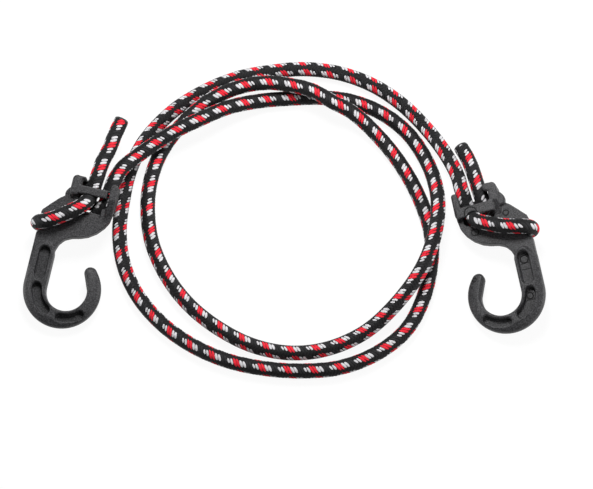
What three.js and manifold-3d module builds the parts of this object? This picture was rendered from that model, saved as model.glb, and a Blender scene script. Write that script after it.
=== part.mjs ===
// A bungee cord: one elastic cord laid in loops, threaded at each end through a moulded hook.
// Millimetres, +Z up, the floor at z = 0, the origin midway between the two hooks.
import * as THREE from "three";
import { mergeVertices } from "three/addons/utils/BufferGeometryUtils.js";
import Module from "manifold-3d";

const wasm = await Module();
wasm.setup();

// Cord sizes: a braided sheath round a bundle of rubber strands.
const CORD = 8;
const SHEATH_WALL = 0.9;
const GAP = 0.3;
const LAY_GAP = 0.8;
const SEAL_LENGTH = 1.4;
const SHEATH_SIDES = 8;
const CORE_SIDES = 6;
const RADIUS = CORD / 2;
const BORE = RADIUS - SHEATH_WALL;
const CORE = BORE - GAP;
const LIFT = CORD + LAY_GAP;
const FLOOR_GAP = 0.1;
const CORNER = corner(RADIUS, SHEATH_SIDES);
const FLOOR = CORNER + FLOOR_GAP;

// Hook sizes. The hook's own frame has u across, v from the bend up to the head, w out of face A.
const HOOK_THICK = 9;
const WEB_THICK = 6;
const BAR_THICK = 2.5;
const HOOK_ROUND = 1.6;
const WEB_ROUND = 0.6;
const BEND = { u: -2.6, v: -1.4, r: 20.9 };
const SEAT = { u: 0, v: -1.8, r: 11.3 };
const TIP_R = 3.4;
const TIP_ANGLE = 40;
const SEAT_START = 12;
const SHANK_OUT = BEND.u - BEND.r;
const SHANK_IN = SEAT.u - SEAT.r;
const SHANK_TOP = 15.4;
const NOTCH = { u: SHANK_OUT - 0.2, v: 31.2, r: CORNER + 2 * GAP };
const HEAD = { left: -10.3, right: 14.8, top: 60.4, boss: 49.5, post: 42, postTop: 59.2 };
const BOSS_ROUND = 3.2;
const HEAD_ROUND = 1.2;
const SLOT_WIDE = 2 * CORD + 3 * GAP + 0.2;
const SLOT = { left: -5.7, right: -5.7 + SLOT_WIDE, bottom: 40.3 };
const TUNNEL = RADIUS + GAP;
const HEAD_HALF = TUNNEL + BAR_THICK;
const BAR_A = { low: 50.7, high: 56 };
const BAR_B = { low: 44.8, high: 49.9 };
const POCKET_FLOOR = 1.7;
// The shank's pocket: its low end, how far it reaches past the shank's top, how far it lies in from the throat, its width.
const SHANK_POCKET = { low: 1.2, past: 3.8, inset: 4.9, wide: 6 };
// Pockets in the bend: how far their middle lies from the bend's to the seat's, where they start and end round it,
// and their inset and width as shares of the J's width.
const BEND_POCKETS = [
  { middle: 0.5, from: 187.5, to: 239, inset: 0.635, wide: 0.47 },
  { middle: 1, from: 268.5, to: 312, inset: 0.51, wide: 0.54 },
];
const LOBE_R = 2.4;

// Corners of the web as steps from the shank and notch, from the top of the shank, and from the post and slot.
const SHOULDER = { u: 8.1, v: 15.2 };
const EAR = { u: 1.9, v: 8.6, corner: 7.2 };
const EDGE_LOW = [[-0.1, 3.1], [1.3, 6.8], [3.6, 9.6], [7, 11.4], [11.7, 12.5]];
const EDGE_HIGH = [[-10.4, -11], [-6.2, -8.1], [-2.8, -4.3], [-0.9, -0.7]];
const EDGE_TOP = 4.7;

// How each hook lies: the heading turns it in the picture plane, face B is up on the right one.
const HOOKS_APART = 231.8;
const LEFT_LIE = { at: [-HOOKS_APART / 2, -18.9, 7.91], pitch: 10, roll: 1.5, heading: -13 };
const RIGHT_LIE = { at: [HOOKS_APART / 2, -22.2, 8.34], pitch: 2.5, roll: 166, heading: 11 };

// The cord's height over the web, and its path through a hook from the tail side to the lead side.
// The shift moves its way through the head along the slot.
const OVER = WEB_THICK / 2 + CORNER + 2 * GAP;
const LEFT_SHIFT = 1.6;
const RIGHT_SHIFT = 0;
const wrap = (shift) => [
  [-0.2 + shift, 61.5, 0],
  [-0.6 + shift, 56.5, 0],
  [-1 + shift, 52, 0.1 * OVER],
  [-1.4 + 0.8 * shift, 48.3, 0.45 * OVER],
  [-3.4 + 0.5 * shift, 44, 0.85 * OVER],
  [-8.4, 38.9, OVER],
  [-14.6, NOTCH.v + 3.3, OVER],
  [-19.4, NOTCH.v + 0.9, 0.88 * OVER],
  [NOTCH.u + 1, NOTCH.v + 0.1, 0.5 * OVER],
  [NOTCH.u, NOTCH.v, 0],
  [NOTCH.u + 1, NOTCH.v + 0.1, -0.5 * OVER],
  [-19.5, NOTCH.v + 0.5, -0.88 * OVER],
  [-15, NOTCH.v + 1.4, -OVER],
  [-8.4, 34.7, -OVER],
  [-1.6, 37.9, -0.99 * OVER],
  [3 + 0.3 * shift, 40.6, -0.86 * OVER],
  [5.2 + 0.5 * shift, 43.2, -0.5 * OVER],
  [6.5 + 0.8 * shift, 45.8, -0.2 * OVER],
  [7.3 + 0.95 * shift, 48.6, -0.05 * OVER],
  [7.9 + shift, 52.4, -0.1 * OVER],
  [8.2 + shift, 57, -0.25 * OVER],
  [8.7 + shift, 62, -0.28 * OVER],
];
const WRAP_POINTS = wrap(0).length;

// Free cord from the left hook to the right one: x, y and how far it is lifted over another strand.
const LOOPS = [
  [-87, 47.5, 1.28], [-80, 54.5, 1.06], [-68.5, 63.5, 1], [-59, 69.8, 1.02], [-46, 76.6, 1],
  [-30.5, 84.9, 0.65], [-13, 90.7, 0.1], [3.5, 92.5, 0], [19.5, 93, 0], [36, 91, 0],
  [53.5, 83.5, 0], [67.5, 71.5, 0], [77.5, 54.5, 0.13], [82, 37, 0.66], [82.5, 23, 1],
  [79.5, 6, 1.01], [72.5, -11, 1], [60, -27.5, 0.52], [43.5, -42, 0.02], [23.5, -51.5, 0],
  [3.5, -54, 0], [-16.5, -50, 0], [-35.5, -40, 0], [-51.5, -26.5, 0], [-63.5, -10, 0],
  [-71.5, 9, 0], [-74, 29, 0], [-72.5, 45, 0], [-68, 59, 0], [-59.5, 73, 0],
  [-45, 86.5, 0.45], [-33.5, 93.7, 0.55], [-21, 98, 0.63], [-8.5, 99, 0.77], [3, 97, 0.93],
  [15, 93.5, 1.01], [26, 87, 0.98], [37.5, 81.5, 0.63], [53, 67.5, 0.09], [65, 50.5, 0],
  [74, 31.5, 0], [79, 13, 0], [78.5, -5, 0], [74, -24, 0], [65, -41, 0],
  [49.5, -54, 0], [30, -62, 0], [9.5, -64, 0], [-11.5, -62.5, 0], [-31, -58, 0],
  [-49.5, -49.5, 0], [-66, -37, 0], [-79, -21, 0], [-86.5, -3.5, 0], [-89, 14.5, 0],
  [-87.5, 32.5, 0], [-84, 50, 0], [-76.5, 67, 0], [-61, 85, 0], [-42.5, 97.5, 0],
  [-24.5, 105, 0], [-6.5, 108.5, 0], [10, 110, 0], [30, 107.5, 0], [48, 100.5, 0],
  [63, 90, 0], [75.5, 76.5, 0.1], [86.5, 60, 0.41], [93.5, 45, 0.63],
];
const LEFT_LEAD_POINTS = 5;
const RIGHT_LEAD_POINTS = 4;

// Free tails beyond the hooks, from the cut end inwards: steps from the hook's place, and the height.
const LEFT_TAIL = [[27.9, 92.5, 19.7], [24.4, 84, 19.5], [21.4, 75.6, 19.2], [17.9, 68.1, 18.9]];
const RIGHT_TAIL = [[-20.4, 84.7, 8.6], [-17.1, 78.2, 9.6], [-14.7, 71.7, 10.6], [-12.9, 65.2, 11.4]];

const deg = THREE.MathUtils.degToRad;

// How far the corners of a flat-sided section reach when it has the area of the round cord.
function corner(radius, sides) {
  return radius * Math.sqrt((2 * Math.PI) / (sides * Math.sin((2 * Math.PI) / sides)));
}

// A solid from a three.js geometry, and back.
function solid(geometry) {
  const bare = new THREE.BufferGeometry();
  bare.setAttribute("position", geometry.getAttribute("position"));
  if (geometry.index) bare.setIndex(geometry.index);
  const merged = mergeVertices(bare, 1e-4);
  return new wasm.Manifold(
    new wasm.Mesh({
      numProp: 3,
      vertProperties: new Float32Array(merged.getAttribute("position").array),
      triVerts: new Uint32Array(merged.index.array),
    }),
  );
}

function geometryOf(made) {
  const mesh = made.getMesh();
  const geometry = new THREE.BufferGeometry();
  geometry.setAttribute("position", new THREE.BufferAttribute(mesh.vertProperties, 3));
  geometry.setIndex(new THREE.BufferAttribute(mesh.triVerts, 1));
  return geometry;
}

// A flat piece with rounded rims, centred on the hook's middle plane.
function slab(shape, thick, round, curveSegments = 8) {
  const geometry = new THREE.ExtrudeGeometry(shape, {
    depth: thick - 2 * round,
    bevelEnabled: true,
    bevelThickness: round,
    bevelSize: round,
    bevelOffset: -round,
    bevelSegments: 2,
    curveSegments,
  });
  return solid(geometry.translate(0, 0, round - thick / 2));
}

function block(u0, u1, v0, v1, w0, w1) {
  const box = new THREE.BoxGeometry(u1 - u0, v1 - v0, w1 - w0);
  return solid(box.translate((u0 + u1) / 2, (v0 + v1) / 2, (w0 + w1) / 2));
}

// The J: a straight shank, a bend that thins towards the tip, and a round top where it meets the web.
function hookOutline() {
  const tipReach = BEND.r - TIP_R;
  const tip = {
    u: BEND.u + tipReach * Math.cos(deg(TIP_ANGLE)),
    v: BEND.v + tipReach * Math.sin(deg(TIP_ANGLE)),
  };
  // The tip's round side runs straight into the seat, at a tangent.
  const seat = { u: SEAT.u + SEAT.r * Math.cos(deg(SEAT_START)), v: SEAT.v + SEAT.r * Math.sin(deg(SEAT_START)) };
  const away = Math.atan2(seat.v - tip.v, seat.u - tip.u) + 2 * Math.PI;
  const tipEnd = away - Math.acos(TIP_R / Math.hypot(seat.u - tip.u, seat.v - tip.v));
  const shape = new THREE.Shape();
  shape.absarc(BEND.u, BEND.v, BEND.r, Math.PI, 2 * Math.PI + deg(TIP_ANGLE), false);
  shape.absarc(tip.u, tip.v, TIP_R, deg(TIP_ANGLE + 8), tipEnd, false);
  shape.absarc(SEAT.u, SEAT.v, SEAT.r, deg(SEAT_START), -Math.PI, true);
  const top = (SHANK_IN - SHANK_OUT) / 2;
  shape.absarc(SHANK_OUT + top, SHANK_TOP, top, 0, Math.PI, false);
  return shape;
}

// The thin plate between the shank and the head, with the notch for the cord and the slot from the top.
function webOutline() {
  const post = HEAD.right - 0.2;
  const shape = new THREE.Shape();
  shape.moveTo(SHANK_IN - 0.2, SHANK_TOP - 8);
  shape.lineTo(SHANK_IN - 0.1, SHANK_TOP - 1.5);
  shape.splineThru([
    ...EDGE_LOW.map(([u, v]) => new THREE.Vector2(SHANK_IN + u, SHANK_TOP + v)),
    ...EDGE_HIGH.map(([u, v]) => new THREE.Vector2(post + u, SLOT.bottom + v)),
  ]);
  shape.lineTo(post, SLOT.bottom + EDGE_TOP);
  shape.lineTo(post, HEAD.top - 4);
  shape.lineTo(SLOT.right, HEAD.top - 4);
  shape.lineTo(SLOT.right, SLOT.bottom + 1.5);
  shape.quadraticCurveTo(SLOT.right, SLOT.bottom, SLOT.right - 1.5, SLOT.bottom);
  shape.lineTo(SLOT.left + 1.5, SLOT.bottom);
  shape.quadraticCurveTo(SLOT.left, SLOT.bottom, SLOT.left, SLOT.bottom + 1.5);
  shape.lineTo(SLOT.left, HEAD.top - 4);
  shape.lineTo(HEAD.left + 0.2, HEAD.top - 4);
  shape.lineTo(HEAD.left + 0.2, HEAD.boss + 0.8);
  shape.lineTo(SHANK_OUT + SHOULDER.u, NOTCH.v + SHOULDER.v);
  shape.lineTo(SHANK_OUT + EAR.u, NOTCH.v + EAR.v);
  shape.quadraticCurveTo(SHANK_OUT + 0.3, NOTCH.v + EAR.corner, SHANK_OUT + 0.3, NOTCH.v + NOTCH.r + 0.7);
  shape.absarc(NOTCH.u, NOTCH.v, NOTCH.r, deg(78), deg(-78), true);
  shape.lineTo(SHANK_OUT + 0.3, NOTCH.v - NOTCH.r - 0.7);
  shape.lineTo(SHANK_OUT + 0.3, SHANK_TOP - 8);
  return shape;
}

function roundedRectangle(u0, u1, v0, v1, r) {
  const shape = new THREE.Shape();
  shape.absarc(u0 + r, v0 + r, r, Math.PI, 1.5 * Math.PI, false);
  shape.absarc(u1 - r, v0 + r, r, 1.5 * Math.PI, 2 * Math.PI, false);
  shape.absarc(u1 - r, v1 - r, r, 0, Math.PI / 2, false);
  shape.absarc(u0 + r, v1 - r, r, Math.PI / 2, Math.PI, false);
  return shape;
}

function bossOutline() {
  const [left, right, low, high] = [HEAD.left, SLOT.left, HEAD.boss, HEAD.top];
  const shape = new THREE.Shape();
  shape.absarc(left + HEAD_ROUND, low + HEAD_ROUND, HEAD_ROUND, Math.PI, 1.5 * Math.PI, false);
  shape.absarc(right - HEAD_ROUND, low + HEAD_ROUND, HEAD_ROUND, 1.5 * Math.PI, 2 * Math.PI, false);
  shape.absarc(right - HEAD_ROUND, high - HEAD_ROUND, HEAD_ROUND, 0, Math.PI / 2, false);
  shape.absarc(left + BOSS_ROUND, high - BOSS_ROUND, BOSS_ROUND, Math.PI / 2, Math.PI, false);
  return shape;
}

// Two thick sides of the head, joined by a bar on face A near the top and one on face B lower down,
// with a ramp up to the bar on face B and a lobe where the web meets the boss.
function headSolid() {
  const thick = 2 * HEAD_HALF;
  const boss = slab(bossOutline(), thick, 0.7, 3);
  const post = slab(roundedRectangle(SLOT.right, HEAD.right, HEAD.post, HEAD.postTop, 1.5), thick, 0.7, 2);
  const barA = block(HEAD.left + 2.5, HEAD.right - 1.2, BAR_A.low, BAR_A.high, TUNNEL, HEAD_HALF - 0.1);
  const barB = block(SLOT.left - 2, HEAD.right - 1.2, BAR_B.low, BAR_B.high, 0.1 - HEAD_HALF, -TUNNEL);
  const ramp = new THREE.Shape();
  ramp.moveTo(SLOT.left - 7, WEB_THICK / 2 - 0.4);
  ramp.lineTo(SLOT.left, WEB_THICK / 2 - 0.4);
  ramp.lineTo(SLOT.left, HEAD_HALF - 0.1);
  ramp.lineTo(SLOT.left - 2, HEAD_HALF - 0.1);
  const wedge = new THREE.ExtrudeGeometry(ramp, { depth: HEAD.boss + 1.5 - BAR_B.low, bevelEnabled: false });
  wedge.rotateX(-Math.PI / 2).translate(0, BAR_B.low, 0);
  const lobe = new THREE.CylinderGeometry(LOBE_R, LOBE_R, WEB_THICK + 0.8, 16).rotateX(Math.PI / 2);
  return boss
    .add(post)
    .add(barA)
    .add(barB)
    .add(solid(wedge))
    .add(solid(lobe.translate(HEAD.left, HEAD.boss + 0.7, 0)));
}

// Pockets sunk in both faces of the J: one straight in the shank, two that follow the bend.
function stadium(u, v0, v1, wide) {
  return roundedRectangle(u - wide / 2, u + wide / 2, v0, v1, wide / 2 - 0.01);
}

// How far an arc of the J lies from a point inside it, in one direction.
function reach(arc, from, angle) {
  const [du, dv] = [arc.u - from.u, arc.v - from.v];
  const along = du * Math.cos(angle) + dv * Math.sin(angle);
  return along + Math.sqrt(arc.r ** 2 - du ** 2 - dv ** 2 + along ** 2);
}

function curvedPocket(pocket) {
  const shape = new THREE.Shape();
  const [a, b] = [deg(pocket.from), deg(pocket.to)];
  const middle = {
    u: THREE.MathUtils.lerp(BEND.u, SEAT.u, pocket.middle),
    v: THREE.MathUtils.lerp(BEND.v, SEAT.v, pocket.middle),
  };
  const outer = reach(BEND, middle, (a + b) / 2);
  const width = outer - reach(SEAT, middle, (a + b) / 2);
  const radius = outer - pocket.inset * width;
  const wide = pocket.wide * width;
  const end = (angle) => [middle.u + radius * Math.cos(angle), middle.v + radius * Math.sin(angle)];
  shape.absarc(middle.u, middle.v, radius + wide / 2, a, b, false);
  shape.absarc(...end(b), wide / 2, b, b + Math.PI, false);
  shape.absarc(middle.u, middle.v, radius - wide / 2, b, a, true);
  shape.absarc(...end(a), wide / 2, a + Math.PI, a + 2 * Math.PI, false);
  return shape;
}

function pockets() {
  const { low, past, inset, wide } = SHANK_POCKET;
  const outlines = [
    stadium(SHANK_IN - inset, low, SHANK_TOP + past, wide),
    ...BEND_POCKETS.map(curvedPocket),
  ];
  const depth = HOOK_THICK / 2 - POCKET_FLOOR + 1;
  return outlines.flatMap((shape) => {
    const sunk = new THREE.ExtrudeGeometry(shape, { depth, bevelEnabled: false, curveSegments: 4 });
    return [POCKET_FLOOR, -POCKET_FLOOR - depth].map((w) => solid(sunk.clone().translate(0, 0, w)));
  });
}

// The slit at the end of bar A, beside the post.
function barSlit() {
  return block(SLOT.right - 1.2, SLOT.right, BAR_A.low - 1, BAR_A.high - 1.4, TUNNEL - 1, HEAD_HALF + 1);
}

function hookSolid(channel) {
  let hook = slab(hookOutline(), HOOK_THICK, HOOK_ROUND, 14)
    .add(slab(webOutline(), WEB_THICK, WEB_ROUND, 5))
    .add(headSolid())
    .subtract(barSlit())
    .subtract(channel);
  for (const pocket of pockets()) hook = hook.subtract(pocket);
  return hook;
}

function lieOf({ at, pitch, roll, heading }) {
  const group = new THREE.Group();
  group.position.set(...at);
  group.rotation.set(deg(pitch), deg(roll), deg(heading), "ZXY");
  group.updateMatrixWorld(true);
  return group;
}

const leftLie = lieOf(LEFT_LIE);
const rightLie = lieOf(RIGHT_LIE);
const wrapIn = (lie, shift) => wrap(shift).map((p) => new THREE.Vector3(...p).applyMatrix4(lie.matrixWorld));
const tailOf = (tail, { at }) => tail.map(([x, y, z]) => new THREE.Vector3(at[0] + x, at[1] + y, z));

// The whole cord as one line, from the left cut end to the right one.
const ROUTE = [
  ...tailOf(LEFT_TAIL, LEFT_LIE),
  ...wrapIn(leftLie, LEFT_SHIFT),
  ...LOOPS.map(([x, y, lift]) => new THREE.Vector3(x, y, FLOOR + lift * LIFT)),
  ...wrapIn(rightLie, RIGHT_SHIFT).reverse(),
  ...tailOf(RIGHT_TAIL, RIGHT_LIE).reverse(),
];
const LINE_STEPS = 24;
const line = new THREE.CatmullRomCurve3(ROUTE, false, "centripetal");
line.arcLengthDivisions = LINE_STEPS * (ROUTE.length - 1);
const lengths = line.getLengths();
const TOTAL = line.getLength();
const lengthAt = (index) => lengths[LINE_STEPS * index];

const leftFirst = LEFT_TAIL.length;
const leftMouth = leftFirst + WRAP_POINTS - 1;
const leftLead = leftMouth + LEFT_LEAD_POINTS;
const rightMouth = leftMouth + LOOPS.length + 1;
const rightLead = rightMouth - RIGHT_LEAD_POINTS;
const rightLast = rightMouth + WRAP_POINTS - 1;

// A stretch of the cord between two lengths along it.
class Stretch extends THREE.Curve {
  constructor(from, to) {
    super();
    this.from = from;
    this.to = to;
  }
  getPoint(t, target = new THREE.Vector3()) {
    return line.getPointAt((this.from + (this.to - this.from) * t) / TOTAL, target);
  }
}

function section(radius, sides) {
  const corners = Array.from({ length: sides }, (_, i) => {
    const angle = ((i + 0.5) * 2 * Math.PI) / sides;
    const reach = corner(radius, sides);
    return new THREE.Vector2(reach * Math.cos(angle), reach * Math.sin(angle));
  });
  return new THREE.Shape(corners);
}

function tube(from, to, shape, step) {
  const steps = Math.max(1, Math.round((to - from) / step));
  return new THREE.ExtrudeGeometry(shape, {
    steps,
    extrudePath: new Stretch(from, to),
    bevelEnabled: false,
  });
}

// The least gap of the cord to itself, measured between points along it.
function leastGap() {
  const count = Math.round(TOTAL / 2);
  const points = line.getSpacedPoints(count);
  let least = Infinity;
  for (let i = 0; i < count; i++)
    for (let j = i + 12; j <= count; j++) least = Math.min(least, points[i].distanceTo(points[j]));
  return least - CORD;
}

function finish(color, roughness) {
  return new THREE.MeshStandardMaterial({ color, roughness, metalness: 0 });
}

function named(name, geometry, material) {
  const mesh = new THREE.Mesh(geometry, material);
  mesh.name = name;
  return mesh;
}

// Sheath and rubber core of one stretch.
function cordStretch(name, from, to, step) {
  const hollow = section(RADIUS, SHEATH_SIDES);
  hollow.holes.push(section(BORE, CORE_SIDES));
  return [
    named(`${name}_sheath`, tube(from, to, hollow, step), finish(0x26262a, 0.9)),
    named(`${name}_core`, tube(from, to, section(CORE, CORE_SIDES), step), finish(0xcfc6ae, 0.7)),
  ];
}

function sealedEnd(name, from, to) {
  return named(name, tube(from, to, section(RADIUS, SHEATH_SIDES), SEAL_LENGTH), finish(0x18181a, 0.6));
}

// The hook is cut clear of the cord that runs through it.
function hookMesh(name, lie, from, to) {
  const channel = tube(from - CORD, to + CORD, section(CORNER + GAP, SHEATH_SIDES), 4);
  channel.applyMatrix4(lie.matrixWorld.clone().invert());
  lie.add(named(name, geometryOf(hookSolid(solid(channel))), finish(0x2b2c2e, 0.65)));
  return lie;
}

const half = GAP / 2;
const cuts = {
  leftSeal: SEAL_LENGTH,
  leftMouth: lengthAt(leftMouth),
  leftLead: lengthAt(leftLead),
  rightLead: lengthAt(rightLead),
  rightMouth: lengthAt(rightMouth),
  rightSeal: TOTAL - SEAL_LENGTH,
};

const bungee = new THREE.Group();
bungee.name = "bungee_cord";
bungee.add(
  hookMesh("left_hook", leftLie, lengthAt(leftFirst), lengthAt(leftMouth)),
  hookMesh("right_hook", rightLie, lengthAt(rightMouth), lengthAt(rightLast)),
  sealedEnd("left_sealed_end", 0, cuts.leftSeal - half),
  ...cordStretch("left_wrap", cuts.leftSeal + half, cuts.leftMouth - half, 4),
  ...cordStretch("left_lead", cuts.leftMouth + half, cuts.leftLead - half, 7),
  ...cordStretch("loops", cuts.leftLead + half, cuts.rightLead - half, 12),
  ...cordStretch("right_lead", cuts.rightLead + half, cuts.rightMouth - half, 7),
  ...cordStretch("right_wrap", cuts.rightMouth + half, cuts.rightSeal - half, 4),
  sealedEnd("right_sealed_end", cuts.rightSeal + half, TOTAL),
);

console.log(`cord length ${TOTAL.toFixed(0)} mm, least gap to itself ${leastGap().toFixed(2)} mm`);

export default bungee;
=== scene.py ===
"""Studio picture of a bungee cord that lies in loops between its two moulded hooks.

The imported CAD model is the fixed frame. The cord's stretches become braided tubes along the same
route, and each hook becomes a soft-edged moulding in the place of its solid. Metres, +Z up.
"""

from __future__ import annotations

import logging
import math
from dataclasses import dataclass
from enum import Enum
from typing import Any, Iterable, Sequence

import bmesh
import bpy
import numpy as np
from mathutils import Euler, Matrix, Vector

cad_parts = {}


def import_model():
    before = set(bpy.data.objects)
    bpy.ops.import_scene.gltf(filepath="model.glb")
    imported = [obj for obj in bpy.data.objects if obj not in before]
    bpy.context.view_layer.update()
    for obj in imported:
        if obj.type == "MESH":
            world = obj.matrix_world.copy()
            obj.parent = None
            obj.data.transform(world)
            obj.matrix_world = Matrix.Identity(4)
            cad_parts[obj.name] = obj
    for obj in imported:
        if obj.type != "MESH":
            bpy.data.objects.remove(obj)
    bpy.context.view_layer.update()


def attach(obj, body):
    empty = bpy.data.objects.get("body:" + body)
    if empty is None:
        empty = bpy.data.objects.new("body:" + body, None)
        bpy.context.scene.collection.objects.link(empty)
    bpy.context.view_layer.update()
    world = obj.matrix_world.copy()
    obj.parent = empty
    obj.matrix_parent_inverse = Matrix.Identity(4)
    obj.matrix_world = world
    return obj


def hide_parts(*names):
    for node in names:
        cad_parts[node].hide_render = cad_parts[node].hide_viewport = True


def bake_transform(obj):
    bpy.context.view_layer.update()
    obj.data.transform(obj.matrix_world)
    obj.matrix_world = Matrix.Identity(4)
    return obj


LOG = logging.getLogger("bungee")
MM = 0.001
Colour = tuple[float, float, float, float]
Flat = tuple[float, float]
Point = tuple[float, float, float]


class Side(Enum):
    """The end of the cord that a piece belongs to, as seen by the camera."""

    LEFT = "left"
    RIGHT = "right"


class FarEnd(Enum):
    """What a stretch of cord ends in."""

    PIECE = "object"
    CUT = "bare"


class Rest(Enum):
    """How a stretch of cord lies."""

    LOOSE = "loose"
    COILED = "coiled"


# Shader maths


class Sock:
    """One shader socket, with operators that add Math nodes."""

    def __init__(self, graph: Graph, socket: bpy.types.NodeSocket | None) -> None:
        """Keeps the socket and the graph that it belongs to."""
        self.graph = graph
        self.socket = socket

    def maths(self, operation: str, *others: Sock | float) -> Sock:
        """Adds one Math node.

        Args:
            operation: the Math node's operation.
            others: the inputs after this socket.

        Returns:
            The node's result.
        """
        values = dict(enumerate([self, *others]))
        return self.graph.node("ShaderNodeMath", {"operation": operation}, values)

    def __add__(self, other: Sock | float) -> Sock:
        """Sum."""
        return self.maths("ADD", other)

    __radd__ = __add__

    def __sub__(self, other: Sock | float) -> Sock:
        """Difference."""
        return self.maths("SUBTRACT", other)

    def __rsub__(self, other: float) -> Sock:
        """A number less this socket."""
        return (self * -1.0) + other

    def __mul__(self, other: Sock | float) -> Sock:
        """Product."""
        return self.maths("MULTIPLY", other)

    __rmul__ = __mul__

    def __truediv__(self, other: Sock | float) -> Sock:
        """Quotient."""
        return self.maths("DIVIDE", other)

    def __pow__(self, other: float) -> Sock:
        """Power."""
        return self.maths("POWER", other)

    def floor(self) -> Sock:
        """Whole part."""
        return self.maths("FLOOR")

    def fract(self) -> Sock:
        """Part after the point."""
        return self.maths("FRACT")

    def at_least(self, low: Sock | float) -> Sock:
        """The larger of the two."""
        return self.maths("MAXIMUM", low)

    def at_most(self, high: Sock | float) -> Sock:
        """The smaller of the two."""
        return self.maths("MINIMUM", high)


class Graph:
    """A material's node tree, filled from an empty one."""

    def __init__(self, name: str) -> None:
        """Makes a material whose node tree is empty.

        Args:
            name: the material's name.
        """
        self.material = bpy.data.materials.new(name)
        self.material.use_nodes = True
        self.tree = self.material.node_tree
        self.tree.nodes.clear()

    def node(
        self,
        kind: str,
        settings: dict[str, Any] | None = None,
        inputs: dict[str | int, Any] | None = None,
        output: str | int = 0,
    ) -> Sock:
        """Adds any node.

        Args:
            kind: the node's type.
            settings: its properties, or "stops" for a ramp, which are set first.
            inputs: values or sockets for its inputs, by name or number.
            output: the output that is returned.

        Returns:
            That output.
        """
        made = self.tree.nodes.new(kind)
        for key, value in (settings or {}).items():
            if key == "stops":
                self._stops(made, value)
            else:
                setattr(made, key, value)
        for key, value in (inputs or {}).items():
            if isinstance(value, Sock):
                self.tree.links.new(value.socket, made.inputs[key])
            else:
                made.inputs[key].default_value = value
        sockets = made.outputs
        return Sock(self, sockets[output]) if len(sockets) else Sock(self, None)

    @staticmethod
    def _stops(ramp: bpy.types.Node, stops: Sequence[tuple[float, Colour]]) -> None:
        """Sets a colour ramp's stops, held from each to the next.

        Args:
            ramp: the ramp's node.
            stops: the place and the colour of each stop.
        """
        ramp.color_ramp.interpolation = "CONSTANT"
        elements = ramp.color_ramp.elements
        while len(elements) < len(stops):
            elements.new(1.0)
        for element, (place, colour) in zip(elements, stops):
            element.position = place
            element.color = colour

    def mix(self, factor: Sock | float, a: Sock | Colour, b: Sock | Colour) -> Sock:
        """A colour between a and b."""
        values = {0: factor, 6: a, 7: b}
        return self.node("ShaderNodeMix", {"data_type": "RGBA"}, values, 2)

    def vector(self, x: Sock | float, y: Sock | float, z: Sock | float) -> Sock:
        """A vector from three numbers."""
        return self.node("ShaderNodeCombineXYZ", None, {0: x, 1: y, 2: z})

    def noise(self, vector: Sock, scale: float, detail: float = 3.0) -> Sock:
        """A noise value from 0 to 1."""
        values = {"Vector": vector, "Scale": scale, "Detail": detail}
        return self.node("ShaderNodeTexNoise", None, values)

    def surface(self, shader: Sock) -> bpy.types.Material:
        """Joins a shader to the output and returns the material."""
        self.node("ShaderNodeOutputMaterial", None, {"Surface": shader})
        return self.material


# Finishes


@dataclass(frozen=True)
class BraidLay:
    """How the yarns of the sheath cross: columns of floats round the cord, and yarns in a turn.

    Each yarn of a turn has its own reach across a column and its own half width, and the yarns
    that cross behind them are all alike.
    """

    columns: int = 4
    lead_m: float = 13.63 * MM
    reach: tuple[float, ...] = (0.31, 0.33, 0.39, 0.39, 0.28, 0.21, 0.42, 0.42)
    width: tuple[float, ...] = (0.54, 0.54, 0.54, 0.54, 0.46, 0.42, 0.5, 0.5)
    back_reach: float = 0.54
    back_width: float = 0.52
    back_height: float = 0.72

    @property
    def yarns(self) -> int:
        """How many yarns lie side by side in one lead."""
        return len(self.reach)

    def relief(self, turn: np.ndarray, leads: np.ndarray) -> np.ndarray:
        """Height of the yarns, from 0 in a crevice to 1 on a float's crown.

        Args:
            turn: place round the cord, in turns.
            leads: place along it, in leads of the braid.

        Returns:
            The heights.
        """
        yarn = (leads - turn) * self.yarns
        which = np.floor(yarn).astype(int) % self.yarns
        reach, width = np.array(self.reach)[which], np.array(self.width)[which]
        front = self._crown(turn * self.columns, yarn, reach, width)
        shifted, behind = turn * self.columns + 0.5, (leads + turn) * self.yarns
        back = self._crown(shifted, behind, self.back_reach, self.back_width)
        return np.maximum(front, self.back_height * back)

    @staticmethod
    def _crown(
        column: np.ndarray, yarn: np.ndarray, reach: np.ndarray | float, width: np.ndarray | float
    ) -> np.ndarray:
        """Heights of rounded floats.

        Args:
            column: place round the cord, counted in columns of floats.
            yarn: place along it, counted in yarns.
            reach: how far a float reaches to either side of its column.
            width: half its width.

        Returns:
            The heights, 0 beside the floats.
        """
        across = ((column + 0.5) % 1.0 - 0.5) / reach
        along = (yarn % 1.0 - 0.5) / width
        return np.sqrt(np.clip(1 - np.abs(across) ** 3 - along**2, 0, 1))


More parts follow.
